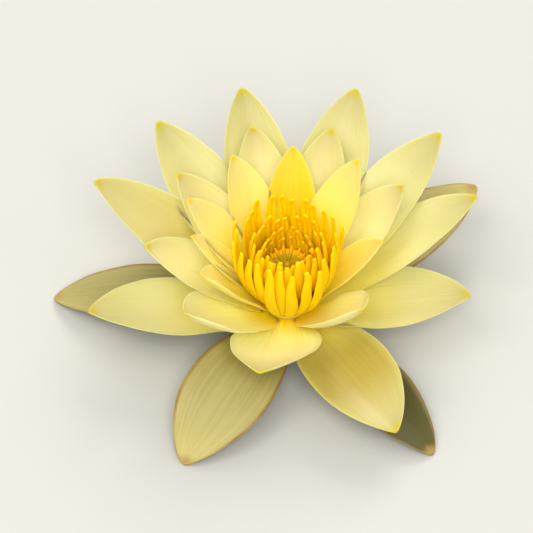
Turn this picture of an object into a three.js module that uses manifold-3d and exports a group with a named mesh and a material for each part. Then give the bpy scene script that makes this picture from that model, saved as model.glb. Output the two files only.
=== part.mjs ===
// A pale yellow water lily bloom, picked with a short stub of its stem and set down on a flat
// surface: it stands on the cut end and on the tips of four of its sepals.
// Millimetres, +Z up, origin under the middle of the bloom on the surface it stands on.
import * as THREE from 'three';
import { mergeVertices } from 'three/addons/utils/BufferGeometryUtils.js';
import Module from 'manifold-3d';

const wasm = await Module();
wasm.setup();

// ---------------------------------------------------------------- driving dimensions
// Heights are measured from the level at which the sepals leave the flower base.
const SURFACE = -7.0;            // the surface that the picked bloom stands on
const GAP = 0.3;                 // clearance between two neighbouring pieces
const ROOT_RADIUS = 6.0;         // where a blade's own length starts
const ROOT_DEPTH = 0.6;          // how far each blade reaches back into its collar
const TURN_SEGMENTS = 24;        // facets around the turned pieces

const STEM = { radius: 2.7, neckRadius: 3.4, neckHeight: 2.0, top: -2.1 };
const AIR_CANALS = { count: 4, radius: 0.5, circle: 1.25, depth: 3.0, sides: 10 };
const BASE = { bottom: STEM.top + GAP, top: 0.8, lowRadius: 3.6, radius: 6.3 };
const COLLAR = { innerRadius: 4.8, radius: 6.3 };
const OUTER_COLLAR = { bottom: BASE.top + GAP, top: 3.0 };
const MIDDLE_COLLAR = { bottom: OUTER_COLLAR.top + GAP, top: 5.2 };
const INNER_COLLAR = { bottom: MIDDLE_COLLAR.top + GAP, top: 7.4 };
const STAMEN_COLLAR = { bottom: INNER_COLLAR.top + GAP, top: 17.0, topRadius: 5.9 };
// No inner petal grows at the front: there the stamens' collar and outer row come down instead.
const FRONT = { azimuth: 282.5, halfAngle: 48, strapHalfAngle: 35, drop: 2.5, arcSegments: 8 };
const PISTIL = {
  coreRadius: COLLAR.innerRadius - GAP,
  bottom: BASE.top + GAP,
  neck: 17.0,
  discRadius: 5.3,
  rim: 20.4,
  dish: 19.4,
  knobRadius: 1.0,
  knobTop: 20.6,
};
const STIGMA_RAYS = { count: 14, lift: 1.0, reach: 0.5 };

// Outline and section of a blade, shared by every whorl.
const WIDEST_AT = 0.52;          // share of the length at which a blade is widest
const ROOT_SHARE = 0.4;          // width at the root, as a share of the widest
const TIP_SHARE = 0.06;          // width of the blunt tip, as a share of the widest
const TIP_POWER = 0.78;          // below 1 gives a fuller shoulder before the tip
const KEEL = 0.08;               // fold along the midline
const KEEL_ROUNDING = 0.14;
const TWIST = 5.0;               // degrees that a blade leans to one side by its tip
const EDGE_THICKNESS = 0.65;
const RIB_THICKNESS = 1.05;
const TIP_CLEARANCE = 0.405;     // height of a resting tip's middle surface above the surface

const SEPAL = { rootHeight: 0.0, width: 22.0, cup: 0.36, steps: 8, strips: 4 };
const OUTER = { rootHeight: 1.9, width: 19.8, cup: 0.62, steps: 8, strips: 4 };
const MIDDLE = { rootHeight: 4.15, width: 16.2, cup: 0.68, steps: 8, strips: 4 };
const INNER = { rootHeight: 6.3, width: 13.6, cup: 0.75, steps: 6, strips: 4 };

// Azimuths run anticlockwise from +X; rises are the slope at the root and at the tip, degrees;
// sweep is how far the tip swings to the anticlockwise side.
// A sepal with no tip rise bends down until its tip rests on the surface.
const SEPALS = [
  { azimuth: 170.8, length: 58, rootRise: 1, width: 20.5 },
  { azimuth: 242, length: 49, rootRise: 4, width: 24, sweep: -2.2 },
  { azimuth: 311.5, length: 52.5, rootRise: -1, width: 19 },
  { azimuth: 37, length: 58.5, rootRise: 1.5, tipRise: 11.5 },
  { azimuth: 104, length: 52, rootRise: 4 },
];
const OUTER_PETALS = [
  { azimuth: 189, length: 48.5, rootRise: 0, tipRise: 20, width: 21.5 },
  { azimuth: 303.5, length: 46, rootRise: 3, tipRise: -1, width: 24 },
  { azimuth: 356, length: 44, rootRise: 0.5, tipRise: 24, width: 21.5 },
  { azimuth: 74, length: 40, rootRise: 10, tipRise: 16, width: 18 },
  { azimuth: 118, length: 40, rootRise: 10, tipRise: 16, width: 18 },
  { azimuth: 20.5, length: 53.5, rootRise: 20, tipRise: 32, width: 18 },
  { azimuth: 42, length: 57, rootRise: 22.5, tipRise: 37.5, width: 19 },
  { azimuth: 70.5, length: 57.5, rootRise: 23, tipRise: 38 },
  { azimuth: 103, length: 56.5, rootRise: 22.5, tipRise: 37.5 },
  { azimuth: 129.5, length: 56, rootRise: 21.5, tipRise: 36.5 },
  { azimuth: 159, length: 57, rootRise: 23, tipRise: 38, width: 21.5 },
];
const MIDDLE_PETALS = [
  { azimuth: 33, length: 39.5, rootRise: 31, tipRise: 46 },
  { azimuth: 73, length: 43.5, rootRise: 29, tipRise: 43 },
  { azimuth: 103.5, length: 43.5, rootRise: 30, tipRise: 44 },
  { azimuth: 143, length: 41, rootRise: 33, tipRise: 49 },
  { azimuth: 181, length: 40, rootRise: 29, tipRise: 45, width: 17 },
  { azimuth: 219, length: 37, rootRise: 16, tipRise: 58, width: 20 },
  { azimuth: 264, length: 29, rootRise: 4, tipRise: 36, width: 24, cup: 0.5, sweep: -4 },
  { azimuth: 316, length: 31, rootRise: 22, tipRise: 65, width: 18.5 },
];
const INNER_PETALS = [
  { azimuth: 52, length: 37.5, rootRise: 41, tipRise: 57 },
  { azimuth: 87, length: 36, rootRise: 39, tipRise: 55 },
  { azimuth: 119, length: 36.5, rootRise: 40, tipRise: 56 },
  { azimuth: 156, length: 35, rootRise: 41, tipRise: 56 },
  { azimuth: 178, length: 31, rootRise: 42, tipRise: 60, width: 10 },
  { azimuth: 205, length: 29.5, rootRise: 40, tipRise: 58 },
  { azimuth: 0, length: 30, rootRise: 41, tipRise: 59, width: 12 },
];
const STAMEN_ROWS = [
  { count: 26, length: 25.5, width: 2.9, rootRadius: 5.9, rootHeight: 8.7, rise: [43, 102] },
  { count: 22, length: 20, width: 2.6, rootRadius: 5.8, rootHeight: 10.8, rise: [52, 110] },
  { count: 17, length: 14, width: 2.2, rootRadius: 5.7, rootHeight: 13.4, rise: [60, 116] },
  { count: 12, length: 8.5, width: 1.8, rootRadius: 5.8, rootHeight: 16.0, rise: [58, 124] },
];
const STAMEN = {
  cup: 0.5, steps: 5, strips: 1, edge: 0.8, rib: 0.8,
  rootShare: 0.6, widestAt: 0.42, tipShare: 0.3, tipPower: 0.7,
};
const STAMEN_SCATTER = { seed: 7, azimuth: 3.5, length: 0.06, rise: 4 };

const COLOURS = {
  stem: '#7d7a32',
  sepals: '#cfc483',
  outer_petals: '#efe69d',
  middle_petals: '#f6e283',
  inner_petals: '#f8d24c',
  stamens: '#f9b400',
  pistil: '#a08a1e',
};

// ---------------------------------------------------------------- small helpers
const { degToRad, lerp, smoothstep, clamp } = THREE.MathUtils;
const UP = new THREE.Vector3(0, 0, 1);

/** Repeatable draws between -1 and 1. */
function makeDraw(seed) {
  let state = seed;
  return () => {
    state = (Math.imul(state, 1664525) + 1013904223) >>> 0;
    return state / 2 ** 31 - 1;
  };
}

/** A closed solid from a closed three.js geometry. */
function toSolid(geometry) {
  const bare = geometry.clone();
  bare.deleteAttribute('normal');
  bare.deleteAttribute('uv');
  const merged = mergeVertices(bare, 1e-4);
  const vertProperties = new Float32Array(merged.attributes.position.array);
  const triVerts = new Uint32Array(merged.index.array);
  return new wasm.Manifold(new wasm.Mesh({ numProp: 3, vertProperties, triVerts }));
}

/** A three.js geometry from a solid. */
function toGeometry(solid) {
  const mesh = solid.getMesh();
  const geometry = new THREE.BufferGeometry();
  geometry.setAttribute('position', new THREE.BufferAttribute(mesh.vertProperties, 3));
  geometry.setIndex(new THREE.BufferAttribute(mesh.triVerts, 1));
  geometry.computeVertexNormals();
  return geometry;
}

/** All the geometries grown together into one body, with any pocket sealed between them filled. */
function fuse(geometries) {
  const grown = geometries.map(toSolid).reduce((body, piece) => body.add(piece));
  return grown.decompose().reduce((best, skin) => (skin.volume() > best.volume() ? skin : best));
}

/** A turned piece from a profile of [radius, height] pairs, listed upwards on its outside. */
function turned(profile) {
  const points = profile.map(([radius, height]) => new THREE.Vector2(radius, height));
  return new THREE.LatheGeometry(points, TURN_SEGMENTS).rotateX(Math.PI / 2);
}

/** A plain collar around the pistil. */
function collar({ bottom, top, topRadius = COLLAR.radius }) {
  return turned([
    [COLLAR.innerRadius, bottom],
    [COLLAR.radius, bottom],
    [topRadius, top],
    [COLLAR.innerRadius, top],
    [COLLAR.innerRadius, bottom],
  ]);
}

/** The part of a collar within an angle to each side of the bloom's front, with an allowance. */
function collarSector({ bottom, top, halfAngle, allowance = 0 }) {
  const middle = degToRad(FRONT.azimuth);
  const half = degToRad(halfAngle) + allowance / COLLAR.innerRadius;
  const shape = new THREE.Shape();
  shape.absarc(0, 0, COLLAR.radius + allowance, middle - half, middle + half, false);
  shape.absarc(0, 0, COLLAR.innerRadius - allowance, middle + half, middle - half, true);
  const depth = top - bottom + 2 * allowance;
  const sector = new THREE.ExtrudeGeometry(shape, {
    depth, bevelEnabled: false, curveSegments: FRONT.arcSegments,
  });
  return sector.translate(0, 0, bottom - allowance);
}

// ---------------------------------------------------------------- blades
/** Width of a blade at u, as a share of its widest. */
function outline(blade, u) {
  const { widestAt = WIDEST_AT, rootShare = ROOT_SHARE } = blade;
  const { tipShare = TIP_SHARE, tipPower = TIP_POWER } = blade;
  if (u < widestAt) {
    return lerp(rootShare, 1, Math.sin((Math.PI / 2) * clamp(u / widestAt, 0, 1)));
  }
  const past = (u - widestAt) / (1 - widestAt);
  return tipShare + (1 - tipShare) * (1 - past ** 2) ** tipPower;
}

/** Height and reach of the midline, an arc of a circle, at u. */
function midline(blade, u) {
  const root = degToRad(blade.rootRise);
  const turn = degToRad(blade.tipRise) - root;
  const rise = root + turn * Math.max(u, 0);
  const bend = blade.length / turn;
  const behind = Math.min(u, 0) * blade.length;
  return {
    rise,
    reach: blade.rootRadius + bend * (Math.sin(rise) - Math.sin(root)) + behind * Math.cos(root),
    height: blade.rootHeight + bend * (Math.cos(root) - Math.cos(rise)) + behind * Math.sin(root),
  };
}

/** A point of the middle surface: u runs from root 0 to tip 1, v from one edge -1 to the other 1. */
function bladePoint(blade, u, v) {
  const { rise, reach, height } = midline(blade, u);
  const along = Math.max(u, 0);
  const half = (blade.width / 2) * outline(blade, along);
  const curl = 0.06 + blade.cup * smoothstep(along, 0, 0.35) * (1 - 0.35 * along) + 0.25 * along ** 4;
  const across = (half * Math.sin(curl * v)) / curl;
  const fold = KEEL * half * (Math.hypot(v, KEEL_ROUNDING) - KEEL_ROUNDING);
  const lift = (half * (1 - Math.cos(curl * v))) / curl + fold;
  const lean = degToRad(blade.twist * along);
  const swept = blade.sweep * along ** 2;
  const side = across * Math.cos(lean) - lift * Math.sin(lean) + swept;
  const up = across * Math.sin(lean) + lift * Math.cos(lean);
  const point = new THREE.Vector3(reach - up * Math.sin(rise), side, height + up * Math.cos(rise));
  return point.applyAxisAngle(UP, degToRad(blade.azimuth));
}

/** The direction square to the middle surface. */
function bladeNormal(blade, u, v) {
  const du = 0.004;
  const dv = 0.01;
  const along = bladePoint(blade, u + du, v).sub(bladePoint(blade, u - du, v));
  const across = bladePoint(blade, u, v + dv).sub(bladePoint(blade, u, v - dv));
  return along.cross(across).normalize();
}

/** A blade as a closed skin: an upper face, a lower face cut alike, and a narrow wall round them. */
function bladeGeometry(blade) {
  const { steps, strips, edge = EDGE_THICKNESS, rib = RIB_THICKNESS } = blade;
  const positions = [];
  const start = -ROOT_DEPTH / blade.length;
  for (let i = 0; i <= steps; i += 1) {
    const u = lerp(start, 1, i / steps);
    for (let j = 0; j <= strips; j += 1) {
      const v = lerp(-1, 1, j / strips);
      const middle = bladePoint(blade, u, v);
      const thickness = lerp(edge, rib, (1 - v * v) * (1 - 0.5 * Math.max(u, 0)));
      const offset = bladeNormal(blade, Math.min(u, 0.99), v).multiplyScalar(thickness / 2);
      positions.push(...middle.clone().add(offset).toArray(), ...middle.clone().sub(offset).toArray());
    }
  }
  const top = (i, j) => 2 * (i * (strips + 1) + j);
  const low = (i, j) => top(i, j) + 1;
  const index = [];
  const quad = (a, b, c, d) => index.push(a, b, c, a, c, d);
  for (let i = 0; i < steps; i += 1) {
    for (let j = 0; j < strips; j += 1) {
      quad(top(i, j), top(i + 1, j), top(i + 1, j + 1), top(i, j + 1));
      index.push(low(i, j), low(i + 1, j + 1), low(i + 1, j));
      index.push(low(i, j), low(i, j + 1), low(i + 1, j + 1));
    }
    quad(low(i, 0), low(i + 1, 0), top(i + 1, 0), top(i, 0));
    quad(low(i + 1, strips), low(i, strips), top(i, strips), top(i + 1, strips));
  }
  for (let j = 0; j < strips; j += 1) {
    quad(low(0, j + 1), low(0, j), top(0, j), top(0, j + 1));
    quad(low(steps, j), low(steps, j + 1), top(steps, j + 1), top(steps, j));
  }
  const geometry = new THREE.BufferGeometry();
  geometry.setAttribute('position', new THREE.BufferAttribute(new Float32Array(positions), 3));
  geometry.setIndex(index);
  return geometry;
}

/** A blade with its whorl's common sizes filled in, leaning by a rule of its azimuth. */
function inWhorl(whorl, own) {
  const twist = TWIST * Math.sin(2.7 * own.azimuth);
  return { rootRadius: ROOT_RADIUS, twist, sweep: 0, ...whorl, ...own };
}

/** The tip rise at which a blade's tip comes down to the surface. */
function restingRise(blade) {
  const target = SURFACE + TIP_CLEARANCE;
  let low = -60;
  let high = blade.rootRise - 0.5;
  for (let round = 0; round < 40; round += 1) {
    const tipRise = (low + high) / 2;
    const reached = midline({ ...blade, tipRise }, 1).height;
    if (reached > target) {
      high = tipRise;
    } else {
      low = tipRise;
    }
  }
  return (low + high) / 2;
}

// ---------------------------------------------------------------- pieces
/** The cut stub of stem, with the air canals open at its end. */
function makeStem() {
  const stub = toSolid(turned([
    [0, SURFACE],
    [STEM.radius, SURFACE],
    [STEM.radius, STEM.top - STEM.neckHeight],
    [STEM.neckRadius, STEM.top],
    [0, STEM.top],
  ]));
  const { count, radius, circle, depth, sides } = AIR_CANALS;
  const turn = (2 * Math.PI) / count;
  let stem = stub;
  for (let k = 0; k < count; k += 1) {
    const canal = new THREE.CylinderGeometry(radius, radius, 2 * depth, sides);
    canal.rotateX(Math.PI / 2);
    canal.translate(circle * Math.cos(k * turn), circle * Math.sin(k * turn), SURFACE);
    stem = stem.subtract(toSolid(canal));
  }
  return stem;
}

/** The flower base with the five sepals grown from it. */
function makeSepals() {
  const base = turned([
    [0, BASE.bottom],
    [BASE.lowRadius, BASE.bottom],
    [BASE.radius - 0.8, lerp(BASE.bottom, BASE.top, 0.35)],
    [BASE.radius, lerp(BASE.bottom, BASE.top, 0.75)],
    [BASE.radius, BASE.top],
    [0, BASE.top],
  ]);
  const blades = SEPALS.map((own) => {
    const blade = inWhorl(SEPAL, own);
    return bladeGeometry({ tipRise: restingRise(blade), ...blade });
  });
  return fuse([base, ...blades]);
}

/** A whorl of petals grown from its collar. */
function makeWhorl(collarSize, whorl, petals) {
  const blades = petals.map((own) => bladeGeometry(inWhorl(whorl, own)));
  return fuse([collar(collarSize), ...blades]);
}

/** The inner petals, whose collar leaves the front to the stamens. */
function makeInnerPetals() {
  const gate = collarSector({ ...INNER_COLLAR, halfAngle: FRONT.halfAngle, allowance: GAP });
  return makeWhorl(INNER_COLLAR, INNER, INNER_PETALS).subtract(toSolid(gate));
}

/** Four rows of strap-like stamens around the pistil, a goblet with its mouth drawn in. */
function makeStamens() {
  const draw = makeDraw(STAMEN_SCATTER.seed);
  const straps = STAMEN_ROWS.flatMap((row, rowIndex) => Array.from({ length: row.count }, (_, k) => {
    const [rootRise, tipRise] = row.rise;
    const azimuth = (360 * (k + rowIndex / 2)) / row.count + STAMEN_SCATTER.azimuth * draw();
    const inFront = rowIndex === 0 && Math.abs(azimuth - FRONT.azimuth) < FRONT.strapHalfAngle;
    const drop = inFront ? FRONT.drop : 0;
    return bladeGeometry({
      ...STAMEN,
      twist: 0,
      sweep: 0,
      width: row.width,
      rootRadius: row.rootRadius,
      rootHeight: row.rootHeight - drop,
      azimuth,
      length: row.length * (1 + STAMEN_SCATTER.length * draw()) + drop,
      rootRise: rootRise + STAMEN_SCATTER.rise * draw(),
      tipRise: tipRise + STAMEN_SCATTER.rise * draw(),
    });
  }));
  const { halfAngle } = FRONT;
  const lobe = collarSector({ bottom: INNER_COLLAR.bottom, top: STAMEN_COLLAR.bottom + GAP, halfAngle });
  return fuse([collar(STAMEN_COLLAR), lobe, ...straps]);
}

/** A closed turned body whose rows are raised into rays: each row is [radius, height, lift, reach]. */
function rayedGeometry(rows, rays) {
  const columns = 2 * rays;
  const positions = [0, 0, rows[0][1]];
  for (const [radius, height, lift = 0, reach = 0] of rows.slice(1, -1)) {
    for (let k = 0; k < columns; k += 1) {
      const onRay = 1 - (k % 2);
      const angle = (2 * Math.PI * k) / columns;
      const out = radius + reach * onRay;
      positions.push(out * Math.cos(angle), out * Math.sin(angle), height + lift * onRay);
    }
  }
  positions.push(0, 0, rows.at(-1)[1]);
  const last = positions.length / 3 - 1;
  const at = (row, k) => 1 + row * columns + (k % columns);
  const index = [];
  for (let k = 0; k < columns; k += 1) {
    index.push(0, at(0, k + 1), at(0, k));
    for (let row = 0; row < rows.length - 3; row += 1) {
      index.push(at(row, k), at(row, k + 1), at(row + 1, k + 1));
      index.push(at(row, k), at(row + 1, k + 1), at(row + 1, k));
    }
    index.push(at(rows.length - 3, k), at(rows.length - 3, k + 1), last);
  }
  const geometry = new THREE.BufferGeometry();
  geometry.setAttribute('position', new THREE.BufferAttribute(new Float32Array(positions), 3));
  geometry.setIndex(index);
  return geometry;
}

/** The pistil: its body, and the dished stigma with raised rays, hooked at the rim, round a knob. */
function makePistil() {
  const { coreRadius, bottom, neck, discRadius, rim, dish, knobRadius, knobTop } = PISTIL;
  const { count, lift, reach } = STIGMA_RAYS;
  return toSolid(rayedGeometry([
    [0, bottom],
    [coreRadius, bottom],
    [coreRadius, neck],
    [discRadius, rim - 1.0],
    [discRadius, rim - 0.3, 0.6 * lift, reach],
    [discRadius - 0.6, rim - 0.1, lift, reach],
    [discRadius - 1.2, lerp(dish, rim, 0.5), 0.5 * lift],
    [0.5 * discRadius, lerp(dish, rim, 0.15), 0.4 * lift],
    [knobRadius + 0.4, dish, 0.2 * lift],
    [knobRadius, dish + 0.3],
    [0.7 * knobRadius, knobTop - 0.3],
    [0, knobTop],
  ], count));
}

// ---------------------------------------------------------------- the bloom
const solids = {
  stem: makeStem(),
  sepals: makeSepals(),
  outer_petals: makeWhorl(OUTER_COLLAR, OUTER, OUTER_PETALS),
  middle_petals: makeWhorl(MIDDLE_COLLAR, MIDDLE, MIDDLE_PETALS),
  inner_petals: makeInnerPetals(),
  stamens: makeStamens(),
  pistil: makePistil(),
};

const bloom = new THREE.Group();
for (const [name, solid] of Object.entries(solids)) {
  const material = new THREE.MeshStandardMaterial({ color: COLOURS[name], roughness: 0.55, metalness: 0 });
  const mesh = new THREE.Mesh(toGeometry(solid), material);
  mesh.name = name;
  bloom.add(mesh);
}

const box = new THREE.Box3().setFromObject(bloom);
const middle = box.getCenter(new THREE.Vector3());
bloom.position.set(-middle.x, -middle.y, -box.min.z);

export default bloom;
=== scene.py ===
"""A pale yellow water lily bloom, picked with a short stub of its stem and set down on a surface.

The petals, sepals, stamens and stigma rays are blades that all follow one rule, written once as a
Geometry Nodes tree: a unit tube is flattened, cupped and bent along an arc.  Sizes are millimetres
and degrees in the tables below, and metres in the meshes.
"""
import logging
import math
from collections.abc import Iterable, Iterator, Sequence
from dataclasses import dataclass, fields
from enum import Enum
from functools import partial, partialmethod
from types import SimpleNamespace
from typing import NamedTuple

import bmesh
import bpy
from bpy.types import Material, Node, NodeSocket, NodeTree, Object
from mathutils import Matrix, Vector


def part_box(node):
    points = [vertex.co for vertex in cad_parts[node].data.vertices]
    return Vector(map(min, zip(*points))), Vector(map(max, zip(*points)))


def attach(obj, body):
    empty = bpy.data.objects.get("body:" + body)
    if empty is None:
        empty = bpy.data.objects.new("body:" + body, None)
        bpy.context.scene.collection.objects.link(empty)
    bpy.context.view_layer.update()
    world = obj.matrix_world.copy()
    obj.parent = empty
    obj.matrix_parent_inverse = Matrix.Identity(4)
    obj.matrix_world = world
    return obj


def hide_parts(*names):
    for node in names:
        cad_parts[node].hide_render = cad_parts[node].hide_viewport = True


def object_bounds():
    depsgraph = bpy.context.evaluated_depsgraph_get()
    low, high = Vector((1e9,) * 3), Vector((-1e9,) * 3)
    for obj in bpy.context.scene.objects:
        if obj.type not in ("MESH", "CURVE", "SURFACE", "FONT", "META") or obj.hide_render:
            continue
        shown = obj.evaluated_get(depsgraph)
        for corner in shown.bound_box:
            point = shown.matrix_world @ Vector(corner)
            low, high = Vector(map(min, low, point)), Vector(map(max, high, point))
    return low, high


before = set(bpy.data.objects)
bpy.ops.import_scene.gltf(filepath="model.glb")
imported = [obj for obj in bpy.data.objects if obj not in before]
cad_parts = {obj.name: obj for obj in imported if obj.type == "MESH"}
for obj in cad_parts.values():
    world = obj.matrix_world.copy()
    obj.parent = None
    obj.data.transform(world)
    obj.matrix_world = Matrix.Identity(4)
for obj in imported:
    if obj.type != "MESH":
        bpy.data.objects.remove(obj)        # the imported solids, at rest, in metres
CAD_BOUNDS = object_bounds()

log = logging.getLogger("water_lily")

MM = 0.001
BODY = "root"                 # the one body of a bloom with no joints
BLADE_NUMBERS = ("along", "across", "thick", "number", "tone")   # what the tissues' colours read

# Heights in the tables are measured from the level at which the sepals leave the flower base.
STEM_TOP = -2.1               # top of the stem's stub on that scale
SURFACE = -7.0                # the surface that the picked bloom stands on
COLLAR_INNER = 4.8
COLLAR_OUTER = 6.3
GAP = 0.3                     # clearance between two neighbouring pieces
ROOT_RADIUS = 6.0             # where a blade's own length starts
TWIST = 5.0                   # degrees that a petal leans to one side by its tip, at most
TWIST_RATE = 2.7              # spreads the leanings over the azimuths, as in the solids
# No inner petal grows at the front: there the stamens' collar and outer row come down instead.
FRONT_AZIMUTH = 282.5
FRONT_HALF_ANGLE = 48.0
FRONT_STRAP_HALF_ANGLE = 35.0
FRONT_DROP = 2.5


# ---- nodes
def srgb(code: str) -> tuple[float, float, float, float]:
    """Turn an sRGB hex colour into the linear colour that shaders take.

    Args:
        code: A colour such as "#f4e9a0".

    Returns:
        Linear red, green, blue and an alpha of 1.
    """
    channels = (int(code[start:start + 2], 16) / 255 for start in (1, 3, 5))
    linear = (c / 12.92 if c <= 0.04045 else ((c + 0.055) / 1.055) ** 2.4 for c in channels)
    return (*linear, 1.0)


def add_node(
    tree: NodeTree,
    kind: str,
    settings: dict[str, object] | None = None,
    inputs: dict[str | int, object] | None = None,
    stops: Sequence[tuple[float, str]] = (),
) -> Node:
    """Add a node to a tree, with its settings, its values and its links.

    Args:
        tree: The tree that gets the node.
        kind: The node's type name.
        settings: Values for the node's own properties.
        inputs: A value, socket, Field or node (its first output) for each input.
        stops: Positions and hex colours, for a colour ramp.

    Returns:
        The new node.
    """
    node = tree.nodes.new(kind)
    for name, value in (settings or {}).items():
        setattr(node, name, value)
    for key, value in (inputs or {}).items():
        source = value.socket if isinstance(value, Field) else value
        source = source.outputs[0] if isinstance(source, Node) else source
        if isinstance(source, NodeSocket):
            tree.links.new(source, node.inputs[key])
        else:
            node.inputs[key].default_value = source
    if stops:
        elements = node.color_ramp.elements
        while len(elements) < len(stops):
            elements.new(1.0)
        for element, (position, code) in zip(elements, stops):
            element.position = position
            element.color = srgb(code)
    return node


@dataclass(frozen=True)
class Field:
    """A number that varies over a surface, worked out by nodes from ordinary arithmetic."""

    socket: NodeSocket

    def math(self, operation: str, *others: "Field | float") -> "Field":
        """Apply one operation of the Math node to this number and up to two others."""
        settings, inputs = {"operation": operation}, dict(enumerate((self, *others)))
        return Field(add_node(self.socket.id_data, "ShaderNodeMath", settings, inputs).outputs[0])

    __add__ = partialmethod(math, "ADD")
    __sub__ = partialmethod(math, "SUBTRACT")
    __mul__ = partialmethod(math, "MULTIPLY")
    __truediv__ = partialmethod(math, "DIVIDE")
    __pow__ = partialmethod(math, "POWER")
    __neg__ = partialmethod(math, "MULTIPLY", -1.0)
    sin = partialmethod(math, "SINE")
    cos = partialmethod(math, "COSINE")
    radians = partialmethod(math, "RADIANS")

    def within(self) -> "Field":
        """Hold the number between 0 and 1."""
        return self.math("MAXIMUM", 0.0).math("MINIMUM", 1.0)

    def step(self, start: float, end: float) -> "Field":
        """Rise smoothly from 0 at start to 1 at end."""
        share = ((self - start) / (end - start)).within()
        return share * share * (share * -2.0 + 3.0)


def shown(name: str, data: bpy.types.ID) -> Object:
    """Put a mesh, a light or a camera into the scene.

    Args:
        name: Its name.
        data: The mesh, light or camera.

    Returns:
        The new object, at the origin.
    """
    made = bpy.data.objects.new(name, data)
    bpy.context.scene.collection.objects.link(made)
    return made


class Rule:
    """A Geometry Nodes tree with named inputs, whose result becomes a piece's plain mesh."""

    def __init__(self, name: str, kinds: dict[str, str]) -> None:
        """Start the tree.

        Args:
            name: The tree's name.
            kinds: The kind of each named input after the geometry, such as "Float".
        """
        self.tree = bpy.data.node_groups.new(name, "GeometryNodeTree")
        face = self.tree.interface
        for title, kind in {"Geometry": "Geometry", **kinds, "Material": "Material"}.items():
            face.new_socket(title, in_out="INPUT", socket_type=f"NodeSocket{kind}")
        face.new_socket("Geometry", in_out="OUTPUT", socket_type="NodeSocketGeometry")
        self.add = partial(add_node, self.tree)
        self.given = self.add("NodeGroupInput").outputs

    def copies(self, points: Node | NodeSocket, one: Node | NodeSocket) -> Node:
        """Stand a copy of one mesh on each point and make them real."""
        copies = self.add("GeometryNodeInstanceOnPoints", inputs={0: points, "Instance": one})
        return self.add("GeometryNodeRealizeInstances", inputs={0: copies})

    def give_out(self, mesh: Node) -> None:
        """Dress the mesh in the given material and end the tree with it."""
        dressed = self.add("GeometryNodeSetMaterial", inputs={0: mesh, 2: self.given["Material"]})
        self.add("NodeGroupOutput", inputs={0: dressed})

    def run(self, piece: Object, values: dict[str, object]) -> None:
        """Run the tree on a piece, which keeps the result as its plain mesh.

        Args:
            piece: The object, which is left with no modifiers.
            values: A value for each named input.
        """
        modifier = piece.modifiers.new(self.tree.name, "NODES")
        modifier.node_group = self.tree
        for socket in self.tree.interface.items_tree:
            if socket.in_out == "INPUT" and socket.name in values:
                modifier[socket.identifier] = values[socket.name]
        graph = bpy.context.evaluated_depsgraph_get()
        mesh = bpy.data.meshes.new_from_object(
            piece.evaluated_get(graph), preserve_all_data_layers=True, depsgraph=graph)
        piece.modifiers.clear()
        piece.data = mesh


# ---- blades
@dataclass(frozen=True)
class Blade:
    """One petal, sepal, stamen or ray: where it starts, how long it is and how it rises."""

    azimuth: float
    length: float
    root_rise: float
    tip_rise: float
    width: float
    root_height: float
    root_radius: float = ROOT_RADIUS
    twist: float = 0.0
    sweep: float = 0.0         # how far the tip swings to the anticlockwise side
    cup_change: float = 0.0    # what its own cup adds to the whorl's
    tone: float = 0.0          # how far it leans from its whorl's colour to the deep one, which is partly painted shade
    number: float = 0.0        # tells the blades of a whorl apart


@dataclass(frozen=True)
class BladeShape:
    """The outline and section that the blades of one whorl share."""

    cup: float                 # radians that half of the section curls through
    rib: float                 # thickness along the middle
    edge: float                # thickness near the margin
    wave: float = 0.45         # how far the margin waves
    ridges: float = 0.09       # height of the lengthwise ridges
    groove: float = 0.0        # depth of a groove down the upper face, as a share of the thickness
    widest_at: float = 0.52
    root_share: float = 0.40   # width at the root, as a share of the widest
    tip_share: float = 0.04
    tip_power: float = 0.78    # how bluntly the outline closes
    keel: float = 0.08         # steepness of the fold along the middle
    margin: float = 0.4        # how far the thin margin reaches past the solids' thicker one
    sway: float = 0.0          # how far the tips wander from side to side
    rows: int = 64
    section: int = 72
    scatter_length: float = 0.0
    scatter_rise: float = 0.0


class Pattern(NamedTuple):
    """A smooth noise over the blades: its pace in two directions and from blade to blade."""

    first: float
    second: float
    blade: float
    shift: float = 0.0


def label(name: str) -> str:
    """Turn the name of a shape's field into that of the tree's input."""
    return name.replace("_", " ").capitalize()


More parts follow.
